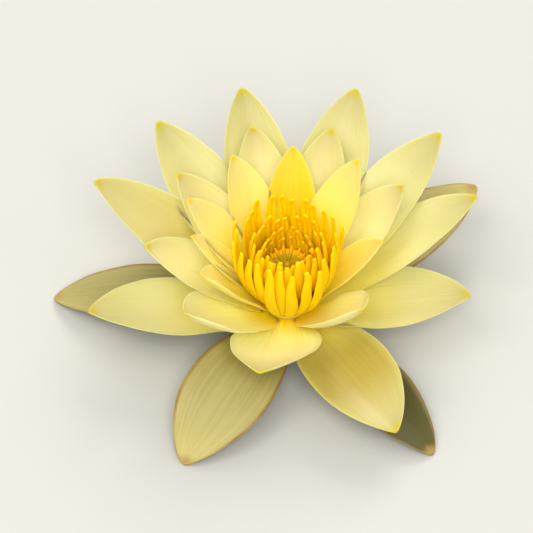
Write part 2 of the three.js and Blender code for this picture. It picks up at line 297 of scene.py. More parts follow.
class BladeRule(Rule):
    """The tree that grows a blade on each point of a mesh."""

    SEED = 11
    ROOT_DEPTH = 0.6           # length of a blade's foot inside what it grows from
    TIP_CROWDING = 1.25        # draws the rows together towards the tip
    CUP_START = 0.35           # share of the length over which the cup opens
    CUP_EASE = 0.35            # how much flatter it is at the tip
    ROOT_CURL = 0.06
    TIP_CURL = 0.25
    TIP_CURL_POWER = 4.0
    FOLD_ROUNDING = 0.14
    UNEVENNESS = 0.05          # how far the width strays
    RIPPLE_START = (0.08, 0.4)  # where along the blade its waves and ridges set in
    RIPPLE_END = 0.12          # how far before the tip they stop
    WAVE_POWER = 3.0           # keeps the waves to the margin
    THINNING = 0.5             # how much thinner the tip is
    SECTION_POWER = 0.6        # fills the section out towards its edges
    GROOVE_NARROWNESS = 14.0
    GROOVE_SIDE = 0.6          # share of the upper half over which the groove sets in
    UNEVEN = Pattern(3.5, 4.0, 9.7)
    WAVING = Pattern(4.5, 7.0, 5.3, 3.0)
    RIDGED = Pattern(6.5, 0.9, 23.0, 50.0)
    SWAYING = Pattern(2.4, 41.0, 13.0)

    def __init__(self) -> None:
        """Build the tree once, for every whorl."""
        sizes = fields(BladeShape)
        kinds = {label(entry.name): entry.type.__name__.capitalize() for entry in sizes}
        super().__init__("Blade rule", kinds | {"Seed": "Int"})
        self.size = SimpleNamespace(**{
            entry.name: Field(self.given[label(entry.name)]) for entry in sizes})
        stored = (*(entry.name for entry in fields(Blade)), "across", "thick", "along")
        self.own = SimpleNamespace(**{name: Field(
            self.add("GeometryNodeInputNamedAttribute", inputs={0: name}).outputs["Attribute"],
        ) for name in stored})
        self._wire()

    def _noise(self, pattern: Pattern, first: Field, second: Field) -> Field:
        """Read a pattern at a place of each blade.

        Args:
            pattern: The pattern.
            first: The place in its first direction.
            second: The place in its second direction.

        Returns:
            A number between -1 and 1.
        """
        place = self.add("ShaderNodeCombineXYZ", inputs={
            "X": first * pattern.first, "Y": second * pattern.second,
            "Z": self.own.number * pattern.blade + pattern.shift,
        })
        noise = self.add("ShaderNodeTexNoise", inputs={0: place, "Scale": 1.0, "Detail": 1.0})
        return Field(noise.outputs[0]) * 2.0 - 1.0

    def _tubes(self) -> Node:
        """Stand a unit tube on each point; its vertices keep where they are on the blade.

        Returns:
            The tubes, as one mesh.
        """
        mesh = self.add("GeometryNodeMeshCylinder", {"fill_type": "TRIANGLE_FAN"}, {
            "Vertices": self.given["Section"], "Side Segments": self.given["Rows"],
            "Radius": 1.0, "Depth": 1.0,
        })
        place = self.add("ShaderNodeSeparateXYZ", inputs={0: self.add("GeometryNodeInputPosition")})
        across, thick, height = (Field(socket) for socket in place.outputs)
        from_tip = (-(height + 0.5) + 1.0).within()
        along = -(from_tip ** self.TIP_CROWDING) + 1.0
        for name, value in (("across", across), ("thick", thick), ("along", along)):
            mesh = self.add("GeometryNodeStoreNamedAttribute", inputs={
                "Geometry": mesh, "Name": name, "Value": value,
            })
        return self.copies(self.given["Geometry"], mesh)

    def _outline(self, along: Field) -> Field:
        """Give the width at a place along the blade.

        Args:
            along: The share of the length from the root.

        Returns:
            The width there, as a share of the widest.
        """
        widest, root, tip = self.size.widest_at, self.size.root_share, self.size.tip_share
        opening = ((along / widest).within() * (math.pi / 2)).sin()
        before = root + opening * (-root + 1.0)
        past = ((along - widest) / (-widest + 1.0)).within()
        closing = (-(past * past) + 1.0).within() ** self.size.tip_power
        return before * (tip + closing * (-tip + 1.0))

    def _wire(self) -> None:
        """Bend each tube into its blade."""
        tubes, own, size = self._tubes(), self.own, self.size
        v, thick = own.across, own.thick
        scatter = [self.add("FunctionNodeRandomValue", inputs={
            "ID": own.number * 1000.0, "Seed": Field(self.given["Seed"]) + offset, 2: -1.0, 3: 1.0,
        }) for offset in (1.0, 2.0, 3.0)]
        longer, steeper, curlier = (Field(draw.outputs[1]) for draw in scatter)
        length = own.length * (longer * size.scatter_length + 1.0)
        start = length ** -1.0 * -self.ROOT_DEPTH
        u = start + own.along * (-start + 1.0)
        along = u.within()

        root = (own.root_rise + steeper * size.scatter_rise).radians()
        tip = (own.tip_rise + curlier * size.scatter_rise).radians()
        turn = tip - root
        rise = root + turn * along
        bend = length / turn
        behind = u.math("MINIMUM", 0.0) * length
        reach = own.root_radius + bend * (rise.sin() - root.sin()) + behind * root.cos()
        height = own.root_height + bend * (root.cos() - rise.cos()) + behind * root.sin()

        side_of = v.math("SIGN")
        uneven = self._noise(self.UNEVEN, along, side_of) * self.UNEVENNESS + 1.0
        half = (own.width * 0.5 + size.margin) * self._outline(along) * uneven
        curl = (size.cup + own.cup_change) * along.step(0.0, self.CUP_START)
        curl = curl * (along * -self.CUP_EASE + 1.0)
        curl = curl + (along ** self.TIP_CURL_POWER) * self.TIP_CURL + self.ROOT_CURL
        across = half * (curl * v).sin() / curl
        fold = (v * v + self.FOLD_ROUNDING ** 2) ** 0.5 - self.FOLD_ROUNDING
        lift = half * (-(curl * v).cos() + 1.0) / curl + fold * half * size.keel
        window = along.step(*self.RIPPLE_START) * (-along + 1.0).step(0.0, self.RIPPLE_END)
        waves = self._noise(self.WAVING, along, side_of) * size.wave
        lift = lift + waves * (v.math("ABSOLUTE") ** self.WAVE_POWER) * window
        lift = lift + self._noise(self.RIDGED, v, along) * size.ridges * window

        tilt = curl * v
        thinning = along * -self.THINNING + 1.0
        depth = size.edge + (size.rib - size.edge) * (-(v * v) + 1.0) * thinning
        groove = (-(v * v) * self.GROOVE_NARROWNESS).math("EXPONENT") * size.groove
        left = -(groove * thick.step(0.0, self.GROOVE_SIDE)) + 1.0
        round_off = thick.math("SIGN") * (thick.math("ABSOLUTE") ** self.SECTION_POWER)
        skin = round_off * depth * 0.5 * left
        across = across - tilt.sin() * skin
        lift = lift + tilt.cos() * skin

        lean = (own.twist * along).radians()
        wander = self._noise(self.SWAYING, along, own.number) * size.sway
        side = across * lean.cos() - lift * lean.sin() + (own.sweep + wander) * along * along
        up = across * lean.sin() + lift * lean.cos()
        out = reach - up * rise.sin()
        facing = own.azimuth.radians()
        place = self.add("ShaderNodeCombineXYZ", inputs={
            "X": (out * facing.cos() - side * facing.sin()) * MM,
            "Y": (out * facing.sin() + side * facing.cos()) * MM,
            "Z": (height + up * rise.cos()) * MM,
        })
        bent = self.add("GeometryNodeSetPosition", inputs={0: tubes, "Position": place})
        self.give_out(self.add("GeometryNodeSetShadeSmooth", inputs={0: bent}))

    def grow(self, name: str, blades: Sequence[Blade], shape: BladeShape,
             finish: Material) -> Object:
        """Grow the blades of one whorl as a plain mesh.

        Args:
            name: Its name.
            blades: One entry for each blade.
            shape: The outline and section that they share.
            finish: Its material.

        Returns:
            An object at the origin with no modifiers.
        """
        points = bpy.data.meshes.new(name)
        points.from_pydata([(0.0, 0.0, 0.0)] * len(blades), [], [])
        for entry in fields(Blade):
            store = points.attributes.new(entry.name, "FLOAT", "POINT")
            store.data.foreach_set("value", [float(getattr(blade, entry.name)) for blade in blades])
        grown = shown(name, points)
        sizes = {label(entry.name): getattr(shape, entry.name) for entry in fields(shape)}
        self.run(grown, sizes | {"Seed": self.SEED, "Material": finish})
        return grown


# ---- plain meshes
def lofted(name: str, sections: Sequence[Sequence[Vector]], finish: Material,
           whole: bool = False) -> Object:
    """Skin a row of closed sections, with the numbers that the tissues read.

    Args:
        name: Its name.
        sections: Points in millimetres, as many in each section or one where they close to a point.
        finish: Its material.
        whole: Whether the last section joins the first.

    Returns:
        A closed object at the origin.
    """
    mesh = bmesh.new()
    rings = [[mesh.verts.new(point * MM) for point in section] for section in sections]
    for low, high in zip(rings, rings[1:] + rings[:1] if whole else rings[1:]):
        steps = max(len(low), len(high))
        for k in range(steps):
            following = (k + 1) % steps
            corners = [low[k % len(low)], low[following % len(low)],
                       high[following % len(high)], high[k % len(high)]]
            mesh.faces.new(list(dict.fromkeys(corners)))
    for end in (rings[0], rings[-1]):
        if len(end) > 1 and not whole:
            mesh.faces.new(end)
    bmesh.ops.recalc_face_normals(mesh, faces=mesh.faces)
    data = bpy.data.meshes.new(name)
    mesh.to_mesh(data)
    mesh.free()
    data.materials.append(finish)
    data.shade_smooth()
    for number in BLADE_NUMBERS:
        data.attributes.new(number, "FLOAT", "POINT")
    return shown(name, data)


def turned(name: str, profile: Iterable[tuple[float, ...]], finish: Material,
           segments: int = 96, rays: int = 0) -> Object:
    """Turn a profile round the flower's axis.

    Args:
        name: Its name.
        profile: Radius, height and, where it has one, rise on a ray in millimetres, upwards on the
            outside, ends on the axis.
        finish: Its material.
        segments: How many steps the turn takes.
        rays: How many ridges run out from the axis.

    Returns:
        A closed object at the origin.
    """
    sections = []
    for radius, height, *lift in profile:
        section = []
        for k in range(segments if radius else 1):
            angle = 2 * math.pi * k / segments
            raised = height + sum(lift) * (0.5 + 0.5 * math.cos(rays * angle)) ** 2
            section.append(Vector((radius * math.cos(angle), radius * math.sin(angle), raised)))
        sections.append(section)
    return lofted(name, sections, finish)


def joined(main: Object, *others: Object) -> Object:
    """Join plain meshes into the first object, all in the material of its first face.

    Args:
        main: The object that stays.
        others: The objects whose meshes it takes in; they are removed.

    Returns:
        The first object.
    """
    finish = main.data.materials[main.data.polygons[0].material_index]
    mesh = bmesh.new()
    mesh.from_mesh(main.data)
    for other in others:
        mesh.from_mesh(other.data)
        bpy.data.objects.remove(other)
    for face in mesh.faces:
        face.material_index = 0
    mesh.to_mesh(main.data)
    mesh.free()
    main.data.materials.clear()
    main.data.materials.append(finish)
    return main


# ---- finishes
class Surface:
    """A node material in the making, with what its patterns are read from."""

    def __init__(self, name: str, noises: Iterable[tuple[float, float]], *numbers: str) -> None:
        """Start the material.

        Args:
            name: What it is and how its surface is, in plain words.
            noises: The scale, per metre, and the detail of each noise that it needs.
            numbers: The numbers of the mesh that its patterns read.
        """
        self.material = bpy.data.materials.new(name)
        self.material.use_nodes = True
        self.material.node_tree.nodes.clear()
        self.add = partial(add_node, self.material.node_tree)
        place = self.add("ShaderNodeTexCoord").outputs["Object"]
        self.noises = [Field(self.add("ShaderNodeTexNoise", inputs={
            "Vector": place, "Scale": scale, "Detail": detail,
        }).outputs[0]) for scale, detail in noises]
        self.read = [Field(self.add("ShaderNodeAttribute", {
            "attribute_name": number,
        }).outputs["Fac"]) for number in numbers]

    def tinted(self, under: Node | NodeSocket, *layers: tuple[Field, str]) -> Node | NodeSocket:
        """Lay tints over a colour, one after the other.

        Args:
            under: The colour below.
            layers: How much of each tint shows, and its hex value.

        Returns:
            The colour on top.
        """
        for share, code in layers:
            under = self.add("ShaderNodeMix", {"data_type": "RGBA"}, {
                0: share, 6: under, 7: srgb(code),
            }).outputs[2]
        return under

    def closed(self, inputs: dict[str, object]) -> Material:
        """Close the material with its shader.

        Args:
            inputs: What goes into the shader.

        Returns:
            The finished material.
        """
        skin = self.add("ShaderNodeBsdfPrincipled", inputs=inputs)
        self.add("ShaderNodeOutputMaterial", inputs={"Surface": skin})
        return self.material


@dataclass(frozen=True)
class PetalTissue:
    """Living petal tissue: moist cells under a waxy skin, so it is satin and lets light through."""

    name: str
    throat: str                # where the blade leaves the flower base
    # On the petals, lower is set lighter and tip darker than the tissue is: painted light and
    # painted shade.
    lower: str
    body: str
    tip: str
    beak: str                  # the very tip
    # rim: a band along the margin, painted edge light
    rim: str
    underside: str
    deep: str                  # the colour that toned blades lean to: partly a deeper colour of their own, partly painted shade on blades that lie in shadow
    fade: float                # how far the deep colour and its painted shade give way towards the tip
    margin: str = ""           # a tinted margin, on sepals
    streak: float = 0.09       # how strongly the veins show
    thickness: float = 2.0     # millimetres that light spreads in the tissue
    gloss: float = 0.4         # how strongly the skin reflects
    throat_end: float = 0.0    # share of the length up to which the throat's colour stays pure

    VEINS = (1 / 0.07, 1.6, 31.0)   # pace across, along and between blades: veins of about 0.7 mm
    PATCHES = 90.0                  # per metre: uneven tone in patches of about 11 mm
    CELLS = 2600.0                  # per metre: cells, drawn at 0.4 mm so that they show

    def material(self) -> Material:
        """Make the material.

        Returns:
            A node material that reads the blades' own numbers.
        """
        surface = Surface(self.name, ((self.PATCHES, 2.0), (self.CELLS, 1.0)), *BLADE_NUMBERS)
        along, across, thick, number, tone = surface.read
        edge = across.math("ABSOLUTE")
        paces = zip("XYZ", (across, along, number), self.VEINS)
        place = surface.add("ShaderNodeCombineXYZ", inputs={
            axis: way * pace for axis, way, pace in paces
        })
        veins = surface.add("ShaderNodeTexNoise", inputs={
            "Vector": place, "Scale": 1.0, "Detail": 3.0, "Roughness": 0.6,
        })
        cloud, cells = surface.noises
        vein, patch = Field(veins.outputs[0]) - 0.5, cloud - 0.5

        # Yellower at the root and paler towards the tip, as the petals are. On the petals the lower
        # stops are also set lighter, painted light where light passes through them, and the tip
        # stop darker, painted shade where the tips catch more of the lamps.
        reach = (along + patch * 0.16 + vein * 0.10).within()
        body = surface.add("ShaderNodeValToRGB", inputs={0: reach}, stops=(
            (self.throat_end, self.throat), (0.30, self.lower), (0.62, self.body),
            (0.96, self.tip)))
        # The deep colour, which is partly painted shade, is held back near the root, where real
        # shadow already falls, and towards the tip by the fade.
        fading = (-(along.step(0.55, 1.0) * self.fade) + 1.0) * along.step(0.0, 0.42)
        shade = surface.add("ShaderNodeHueSaturation", inputs={
            "Value": vein * self.streak * 2.0 + patch * 0.10 + 1.0,
            "Saturation": -(vein * self.streak) + 1.0,
            "Color": surface.tinted(body, (tone * fading, self.deep),
                                    ((-thick).step(-0.15, 0.25) * 0.55, self.underside)),
        })
        # A band along the margin, tinted as the thin edges look where light catches them and shines
        # through: painted edge light.
        layers = [(edge.step(0.80, 0.98) * 0.4, self.rim)]
        if self.margin:
            layers.append((edge.step(0.90, 0.985) * (patch * 2.0 + 0.6).within(), self.margin))
        layers.append(((along - edge * 0.02 + patch * 0.02).step(0.93, 0.98) * 0.85, self.beak))

        relief = surface.add("ShaderNodeBump", inputs={
            "Strength": 0.5, "Distance": 0.00022, "Height": vein,
        })
        fine = surface.add("ShaderNodeBump", inputs={
            "Strength": 0.25, "Distance": 0.00005, "Height": cells, "Normal": relief,
        })
        return surface.closed({
            "Base Color": surface.tinted(shade, *layers),
            "Roughness": vein * 0.12 + 0.40, "IOR": 1.42, "Specular IOR Level": self.gloss,
            "Subsurface Weight": 0.75, "Subsurface Scale": self.thickness * MM,
            "Subsurface Radius": (1.0, 0.98, 0.6), "Normal": fine,
            "Sheen Weight": 0.04, "Sheen Roughness": 0.5,
        })


@dataclass(frozen=True)
class PollenTissue:
    """Stamen tissue: golden straps, powdery with pollen along the inner face, so almost matt."""

    name: str
    base: str
    strap: str
    tip: str
    pollen: str
    deep: str                  # the colour that the inner rows lean to: partly their own deeper orange, partly painted shade deep in the goblet

    GRAINS = 1900.0            # per metre: pollen grains, drawn at 0.5 mm so that they show
    PATCHES = 260.0            # per metre: uneven tone in patches of about 4 mm

    def material(self) -> Material:
        """Make the material.

        Returns:
            A node material that reads the straps' own numbers.
        """
        surface = Surface(self.name, ((self.GRAINS, 2.0), (self.PATCHES, 2.0)),
                          "along", "across", "thick", "tone")
        along, across, thick, tone = surface.read
        grain, cloud = surface.noises
        speck, patch = grain - 0.5, cloud - 0.5
        reach = (along + patch * 0.3).within()
        body = surface.add("ShaderNodeValToRGB", inputs={0: reach}, stops=(
            (0.0, self.base), (0.25, self.strap), (0.75, self.strap), (1.0, self.tip)))
        lobes = -((across.math("ABSOLUTE") - 0.5).math("ABSOLUTE").step(0.12, 0.42)) + 1.0
        inner = thick.step(0.0, 0.5) * along.step(0.35, 0.5) * (-along + 1.0).step(0.02, 0.15)
        dusting = (lobes * inner * (speck * 1.5 + 0.8)).within()
        relief = surface.add("ShaderNodeBump", inputs={
            "Strength": 0.6, "Distance": 0.0001, "Height": grain,
        })
        return surface.closed({
            "Base Color": surface.tinted(body, (tone, self.deep), (dusting, self.pollen)),
            "Roughness": speck * 0.2 + 0.62, "IOR": 1.4, "Specular IOR Level": 0.2,
            "Subsurface Weight": 0.8, "Subsurface Scale": 1.5 * MM,
            "Subsurface Radius": (1.0, 0.8, 0.2), "Normal": relief,
        })


@dataclass(frozen=True)
class MoistSkin:
    """Fleshy green plant skin, as on the stigma and the stem: smooth, moist, faintly mottled."""

    name: str
    dark: str
    light: str
    spot: str
    roughness: float
    mottle: float              # patches per metre: of 1.5 mm on the stigma, 3.3 mm on the stem
    gloss: float = 0.5
    fringe: str = ""           # what it turns to towards the far end, on the stigma

    PORES = 3200.0             # per metre: fine relief, drawn at 0.3 mm so that it shows

    def material(self) -> Material:
        """Make the material.

        Returns:
            A node material on the object's own coordinates.
        """
        surface = Surface(self.name, ((self.mottle, 4.0), (self.PORES, 1.0)), "along")
        patch, speck = surface.noises
        body = surface.add("ShaderNodeValToRGB", inputs={0: patch}, stops=(
            (0.30, self.dark), (0.62, self.light), (0.80, self.spot)))
        layers = []
        if self.fringe:
            along, = surface.read
            layers.append(((along + patch * 0.2).step(0.68, 0.92), self.fringe))
        relief = surface.add("ShaderNodeBump", inputs={
            "Strength": 0.35, "Distance": 0.00008, "Height": speck,
        })
        return surface.closed({
            "Base Color": surface.tinted(body, *layers),
            "Roughness": (speck - 0.5) * 0.2 + self.roughness,
            "IOR": 1.4, "Specular IOR Level": self.gloss,
            "Subsurface Weight": 0.25, "Subsurface Scale": 0.8 * MM,
            "Subsurface Radius": (1.0, 0.8, 0.3), "Normal": relief,
        })


@dataclass(frozen=True)
class MattPaper:
    """Pale paper under the bloom: uncoated, so it is matt, with faint clouds in its pulp."""

    name: str
    shade: str

    CLOUDS = 35.0              # per metre: clouds of about 3 cm

    def material(self) -> Material:
        """Make the material.

        Returns:
            A node material on the object's own coordinates.
        """
        surface = Surface(self.name, [(self.CLOUDS, 3.0)])
        colour = surface.add("ShaderNodeHueSaturation", inputs={
            "Value": surface.noises[0] * 0.02 + 0.99, "Color": srgb(self.shade),
        })
        return surface.closed({"Base Color": colour, "Roughness": 0.9})


# ---- sub-assemblies
def put_in_frame(piece: Object, node: str) -> None:
    """Move a piece to the flower's axis, which is the stem's, and tie it to the frame.

    Args:
        piece: A finished object at the origin.
        node: The solid that it stands for.
    """
    low, high = (Vector(corner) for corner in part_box("stem"))
    origin = Vector(((low.x + high.x) / 2, (low.y + high.y) / 2, high.z - STEM_TOP * MM))
    for vertex in piece.data.vertices:
        vertex.co += origin
    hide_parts(node)
    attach(piece, BODY)
    log.info("%s stands for %s: %d faces", piece.name, node, len(piece.data.polygons))


@dataclass(frozen=True)
class Collar:
    """A ring round the pistil that blades grow from, or the part of one between two azimuths."""

    bottom: float
    top: float
    top_radius: float = COLLAR_OUTER
    start: float = 0.0
    span: float = 360.0
    step: float = 4.0          # degrees between two sections
    chamfer: float = 0.25

    def build(self, name: str, finish: Material) -> Object:
        """Carry the section round the flower's axis.

        Args:
            name: Its name.
            finish: Its material.

        Returns:
            A closed object at the origin.
        """
        section = (
            (COLLAR_INNER, self.bottom), (COLLAR_OUTER - self.chamfer, self.bottom),
            (COLLAR_OUTER, self.bottom + self.chamfer), (self.top_radius, self.top - self.chamfer),
            (self.top_radius - self.chamfer, self.top), (COLLAR_INNER, self.top),
        )
        whole = self.span == 360.0
        steps = round(self.span / self.step)
        turns = (math.radians(self.start + self.span * k / steps)
                 for k in range(steps if whole else steps + 1))
        return lofted(name, [
            [Vector((radius * math.cos(turn), radius * math.sin(turn), height))
             for radius, height in section]
            for turn in turns
        ], finish, whole)


@dataclass(frozen=True)
class FlowerBase:
    """The turned base that the sepals grow from."""

    bottom: float = -1.8
    top: float = 0.8
    low_radius: float = 3.4
    radius: float = COLLAR_OUTER

    def build(self, name: str, finish: Material) -> Object:
        """Turn the base.

        Args:
            name: Its name.
            finish: Its material.

        Returns:
            A closed object at the origin.
        """
        return turned(name, (
            (0.0, self.bottom), (self.low_radius, self.bottom),
            (self.low_radius + 1.0, self.bottom + 0.25), (self.radius - 0.8, self.bottom + 0.9),
            (self.radius - 0.2, self.bottom + 1.7), (self.radius, self.top - 0.4),
            (self.radius - 0.1, self.top), (0.0, self.top),
        ), finish)


@dataclass
class Whorl:
    """Blades that leave the flower base at one height, with what they grow from."""

    name: str
    node: str
    slot: str
    finish: PetalTissue | PollenTissue
    shape: BladeShape
    blades: Sequence[Blade]
    seats: Sequence[Collar | FlowerBase]

    def build(self, rule: BladeRule) -> None:
        """Grow the blades, join them to their seats and tie the piece to the frame.

        Args:
            rule: The tree that grows blades.
        """
        material = self.finish.material()
        piece = rule.grow(self.name, self.blades, self.shape, material)
        seats = [seat.build(f"{self.name}_seat_{k}", material) for k, seat in enumerate(self.seats)]
        put_in_frame(joined(piece, *seats), self.node)


class PetalRow(NamedTuple):
    """A line of a whorl's table; with no tip rise the blade bends down until its tip rests."""

    azimuth: float
    length: float
    root_rise: float
    tip_rise: float | None
    width: float
    # How far the blade leans to its whorl's deep colour, which is partly painted shade
    tone: float
    sweep: float = 0.0
    cup_change: float = 0.0


# The sixth column leans a blade to its whorl's deep colour. On blades that lie in shadow, such as
# the sepal at 311.5 degrees and the outer petal at 303.5, that is partly painted shade.
SEPAL_ROWS = (
    (170.8, 58, 1, None, 20.5, 0.34),
    (242, 49, 4, None, 24, 0, -2.2),
    (311.5, 52.5, -1, None, 19, 0.95),
    (37, 58.5, 1.5, 11.5, 22, 0),
    (104, 52, 4, None, 22, 0.35),
)
OUTER_ROWS = (
    (189, 48.5, 0, 20, 21.5, 0.12),
    (303.5, 46, 3, -1, 24, 0.95),
    (356, 44, 0.5, 24, 21.5, 0.2),
    (74, 40, 10, 16, 18, 0.4),
    (118, 40, 10, 16, 18, 0.4),
    (20.5, 53.5, 20, 32, 18, 0.1),
    (42, 57, 22.5, 37.5, 19, 0),
    (70.5, 57.5, 23, 38, 19.8, 0),
    (103, 56.5, 22.5, 37.5, 19.8, 0.15),
    (129.5, 56, 21.5, 36.5, 19.8, 0.15),
    (159, 57, 23, 38, 21.5, 0.5),
)
MIDDLE_ROWS = (
    (33, 39.5, 31, 46, 16.2, 0),
    (73, 43.5, 29, 43, 16.2, 0),
    (103.5, 43.5, 30, 44, 16.2, 0),
    (143, 41, 33, 49, 16.2, 0),
    (181, 40, 29, 45, 17, 0),
    (219, 37, 16, 58, 20, 0),
    (264, 29, 4, 36, 24, 0, -4, -0.18),
    (316, 31, 22, 65, 18.5, 0.1),
)
INNER_ROWS = (
    (52, 37.5, 41, 57, 13.6, 0.15),
    (87, 36, 39, 55, 13.6, 0.95),
    (119, 36.5, 40, 56, 13.6, 0.1),
    (156, 35, 41, 56, 13.6, 0),
    (178, 31, 42, 60, 10, 0.1),
    (205, 29.5, 40, 58, 13.6, 0.2),
    (0, 30, 41, 59, 12, 0.4),
)
# count, length, width, root radius, root height, rise at the root and at the tip
STAMEN_ROWS = (
    (26, 25.5, 2.9, 5.9, 8.7, 43, 102),
    (22, 20, 2.6, 5.8, 10.8, 52, 110),
    (17, 14, 2.2, 5.7, 13.4, 60, 116),
    (12, 8.5, 1.8, 5.8, 16, 58, 124),
)
STAMEN_SEED = 7
AZIMUTH_SCATTER = 3.5
LENGTH_SCATTER = 0.06
RISE_SCATTER = 4.0
TIP_CLEARANCE = 0.405         # height of a resting tip's middle above the surface
GOLDEN_STEP = 0.618           # spreads the blades' numbers evenly
ROW_SHIFT = 7                 # sets the numbers of one row of stamens off from the next
TONE_POWER = 1.6              # how late the rows of stamens turn to their deep colour, which is partly painted shade
STEEPEST_DROOP = -60.0
HALVINGS = 40


def resting_rise(length: float, root_rise: float, root_height: float) -> float:
    """Find the rise at the tip that brings a blade's tip down to the surface.

    Args:
        length: The blade's length along its arc.
        root_rise: Its rise at the root.
        root_height: The height of its root.

    Returns:
        The rise at the tip, in degrees.
    """
    root = math.radians(root_rise)
    low, high = STEEPEST_DROOP, root_rise - 0.5
    for _ in range(HALVINGS):
        middle = (low + high) / 2
        tip = math.radians(middle)
        reached = root_height + length / (tip - root) * (math.cos(root) - math.cos(tip))
        low, high = (low, middle) if reached > SURFACE + TIP_CLEARANCE else (middle, high)
    return (low + high) / 2


def petals(rows: Iterable[tuple[float | None, ...]], root_height: float) -> list[Blade]:
    """Make the blades of a whorl from its table.

    Args:
        rows: The lines of the table, each as PetalRow lists it.
        root_height: The height at which they leave the flower base.

    Returns:
        The blades, each with its twist and its own number.
    """
    made = []
    for index, row in enumerate(PetalRow(*line) for line in rows):
        tip_rise = row.tip_rise
        if tip_rise is None:
            tip_rise = resting_rise(row.length, row.root_rise, root_height)
        made.append(Blade(
            row.azimuth, row.length, row.root_rise, tip_rise, row.width, root_height,
            twist=TWIST * math.sin(TWIST_RATE * row.azimuth), sweep=row.sweep,
            cup_change=row.cup_change, tone=row.tone, number=(index * GOLDEN_STEP) % 1.0,
        ))
    return made


def draws(seed: int) -> Iterator[float]:
    """Give repeatable numbers, the same ones that scatter the solids' stamens.

    Args:
        seed: Where the row of numbers starts.

    Yields:
        Numbers between -1 and 1, without end.
    """
    state = seed
    while True:
        state = (state * 1664525 + 1013904223) % 2 ** 32
        yield state / 2 ** 31 - 1


def stamens() -> list[Blade]:
    """Set the rows of stamens round the pistil.

    Returns:
        The straps, each row turned by half a step against the one below.
    """
    draw = draws(STAMEN_SEED)
    made = []
    for row, (count, length, width, radius, height, root_rise, tip_rise) in enumerate(STAMEN_ROWS):
        for k in range(count):
            azimuth = 360.0 * (k + row / 2) / count + AZIMUTH_SCATTER * next(draw)
            in_front = row == 0 and abs(azimuth - FRONT_AZIMUTH) < FRONT_STRAP_HALF_ANGLE
            drop = FRONT_DROP if in_front else 0.0
            made.append(Blade(
                azimuth=azimuth,
                length=length * (1 + LENGTH_SCATTER * next(draw)) + drop,
                root_rise=root_rise + RISE_SCATTER * next(draw),
                tip_rise=tip_rise + RISE_SCATTER * next(draw),
                width=width, root_height=height - drop, root_radius=radius,
                # The inner rows lean to the deep colour: partly their own deeper orange, partly
                # painted shade
                tone=(row / (len(STAMEN_ROWS) - 1)) ** TONE_POWER,
                number=((k + ROW_SHIFT * row) * GOLDEN_STEP) % 1.0,
            ))
    return made


@dataclass
class Pistil:
    """The ovary's core and the dished stigma, with its rays and the knob in the middle."""

    core: float = 4.5
    bottom: float = 1.1
    neck: float = 17.0
    disc: float = 5.3
    rim: float = 20.4
    dish: float = 19.4
    knob: float = 1.0
    knob_top: float = 20.6
    rays: int = 14
    finish: MoistSkin = MoistSkin(
        "Stigma, moist olive tissue", "#a08a06", "#ccaa08", "#dcba10", roughness=0.55, mottle=650.0,
        gloss=0.2, fringe="#f4b800")

    RAY_STEPS = 8              # steps of the turned body from ray to ray

    def build(self, rule: BladeRule) -> None:
        """Turn the body and lay the rays on it.

        Args:
            rule: The tree that grows blades.
        """
        material = self.finish.material()
        rows = (
            (0.0, self.bottom), (self.core - 0.4, self.bottom), (self.core, self.bottom + 0.4),
            (self.core, self.neck), (self.disc - 0.2, self.rim - 1.2),
            (self.disc, self.rim - 0.6, 0.1), (self.disc + 0.05, self.rim - 0.3, 0.2),
            (self.disc - 0.3, self.rim - 0.1, 0.3), (self.disc - 1.0, self.rim - 0.35, 0.3),
            (0.6 * self.disc, self.dish + 0.3, 0.28), (0.4 * self.disc, self.dish + 0.05, 0.22),
            (self.knob + 0.25, self.dish, 0.1), (self.knob, self.dish + 0.25),
            (0.9 * self.knob, self.knob_top - 0.4), (0.5 * self.knob, self.knob_top - 0.08),
            (0.0, self.knob_top),
        )
        body = turned("pistil_body", rows, material, self.rays * self.RAY_STEPS, self.rays)
        for vertex, along in zip(body.data.vertices, body.data.attributes["along"].data):
            along.value = math.hypot(vertex.co.x, vertex.co.y) / (self.disc * MM)
        shape = BladeShape(
            cup=0.3, rib=0.8, edge=0.5, wave=0.0, ridges=0.0, widest_at=0.6, root_share=0.5,
            tip_share=0.35, keel=0.0, margin=0.0, rows=16, section=12, scatter_length=0.05,
            scatter_rise=5.0)
        hooks = [
            Blade(azimuth=360.0 * k / self.rays, length=5.0, root_rise=-6.0, tip_rise=66.0,
                  width=0.95, root_height=self.dish + 0.05, root_radius=1.1,
                  number=(k * GOLDEN_STEP) % 1.0)
            for k in range(self.rays)
        ]
        piece = rule.grow("pistil_with_rays", hooks, shape, material)
        put_in_frame(joined(piece, body), "pistil")


class CanalRule(Rule):
    """The tree that drills one ring of air canals up into the stem's cut end."""

    SIDES = 20

    def __init__(self) -> None:
        """Build the tree once, for both rings."""
        sizes = ("Canal radius", "Ring radius", "Depth", "End height")
        super().__init__("Air canals", {"Count": "Int", **dict.fromkeys(sizes, "Float")})
        canal = self.add("GeometryNodeMeshCylinder", inputs={
            "Vertices": self.SIDES, "Radius": self.given["Canal radius"],
            "Depth": Field(self.given["Depth"]) * 2.0,
        })
        ring = self.add("GeometryNodeMeshCircle", inputs={
            "Vertices": self.given["Count"], "Radius": self.given["Ring radius"],
        })
        down = self.add("ShaderNodeCombineXYZ", inputs={"Z": self.given["End height"]})
        lowered = self.add("GeometryNodeTransform", inputs={
            "Geometry": ring, "Translation": down,
        })
        cut = self.add("GeometryNodeMeshBoolean", {"operation": "DIFFERENCE", "solver": "EXACT"}, {
            0: self.given["Geometry"], 1: self.copies(lowered, canal),
        })
        self.give_out(cut)


